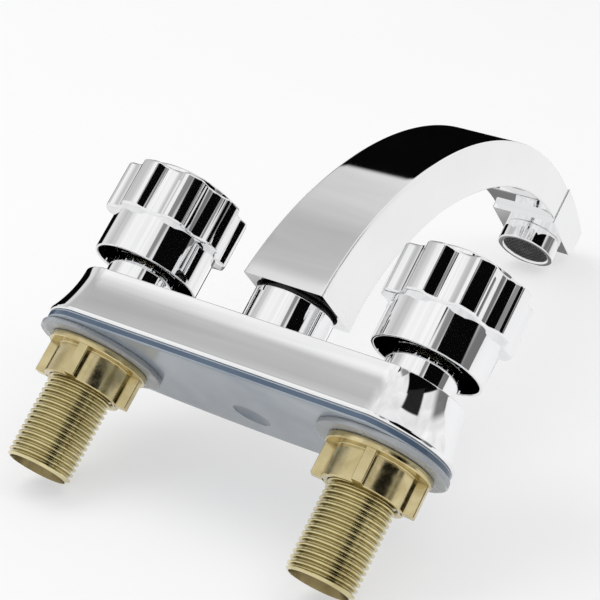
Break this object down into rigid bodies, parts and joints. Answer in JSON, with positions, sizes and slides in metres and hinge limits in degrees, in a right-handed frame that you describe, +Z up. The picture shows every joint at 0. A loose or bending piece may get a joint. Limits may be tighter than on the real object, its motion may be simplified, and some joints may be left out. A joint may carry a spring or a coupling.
{
  "type": "two-handle deck faucet",
  "caption": "Chromed deck faucet with an arched rectangular spout, fluted round knobs and threaded brass inlet shanks, for a basin or vessel sink.",
  "frame": {"origin": "middle of the deck face: underside of the base plate, midway between the handles", "axes": "+X to the right seen from the front, +Z up away from the deck, the spout reaches out along -Y"},
  "size_m": [0.1432, 0.1669, 0.1894],
  "materials": {
    "chrome": "polished",
    "brass": "machined",
    "steel": "satin",
    "rubber": "matt",
    "ceramic": "smooth",
    "white_plastic": "satin",
    "dark_plastic": "satin",
    "clear_plastic": "frosted",
    "clear_washer": "frosted"
  },
  "bodies": {
    "faucet_body": {"body_casting": "chrome", "base_plate": "clear_plastic", "spout_collar": "chrome", "spout_slip_ring": "white_plastic", "left_inlet_socket": "brass", "left_inlet_shank": "brass", "left_bonnet": "chrome", "left_cartridge_shell": "brass", "left_seat_seal": "rubber", "left_fixed_disc": "ceramic", "right_inlet_socket": "brass", "right_inlet_shank": "brass", "right_bonnet": "chrome", "right_cartridge_shell": "brass", "right_seat_seal": "rubber", "right_fixed_disc": "ceramic"},
    "spout": {"spout_shell": "chrome", "spout_tail": "brass", "spout_seals": "rubber", "spout_clip": "steel", "aerator_housing": "chrome", "aerator_screen": "dark_plastic", "aerator_washer": "rubber"},
    "left_handle": {"left_knob": "chrome", "left_index_cap": "chrome", "left_knob_screw": "steel", "left_stem": "brass", "left_stem_seal": "rubber", "left_moving_disc": "ceramic"},
    "left_washer": {"left_washer": "clear_washer"},
    "left_lock_nut": {"left_lock_nut": "brass"},
    "right_handle": {"right_knob": "chrome", "right_index_cap": "chrome", "right_knob_screw": "steel", "right_stem": "brass", "right_stem_seal": "rubber", "right_moving_disc": "ceramic"},
    "right_washer": {"right_washer": "clear_washer"},
    "right_lock_nut": {"right_lock_nut": "brass"}
  },
  "joints": [
    {"name": "spout_swivel", "type": "hinge", "parent": "faucet_body", "child": "spout", "pos_m": [0, -0.0052, 0.0359], "axis": [0, 0, 1], "range_deg": [-90, 90]},
    {"name": "left_turn", "type": "hinge", "parent": "faucet_body", "child": "left_handle", "pos_m": [-0.0508, 0, 0.0457], "axis": [0, 0, 1], "range_deg": [0, 90]},
    {"name": "left_washer_slide", "type": "slide", "parent": "faucet_body", "child": "left_washer", "axis": [0, 0, -1], "range_m": [0, 0.0255]},
    {"name": "left_nut_spin", "type": "hinge", "parent": "left_washer", "child": "left_lock_nut", "pos_m": [-0.0508, 0, -0.0073], "axis": [0, 0, -1], "range_deg": [0, 5040]},
    {"name": "right_turn", "type": "hinge", "parent": "faucet_body", "child": "right_handle", "pos_m": [0.0508, 0, 0.0457], "axis": [0, 0, 1], "range_deg": [-90, 0]},
    {"name": "right_washer_slide", "type": "slide", "parent": "faucet_body", "child": "right_washer", "axis": [0, 0, -1], "range_m": [0, 0.0255]},
    {"name": "right_nut_spin", "type": "hinge", "parent": "right_washer", "child": "right_lock_nut", "pos_m": [0.0508, 0, -0.0073], "axis": [0, 0, -1], "range_deg": [0, 5040]}
  ],
  "couplings": [
    {"joint": "left_washer_slide", "follows": "left_nut_spin", "m_per_rad": 0.00028875},
    {"joint": "right_washer_slide", "follows": "right_nut_spin", "m_per_rad": 0.00028875}
  ]
}
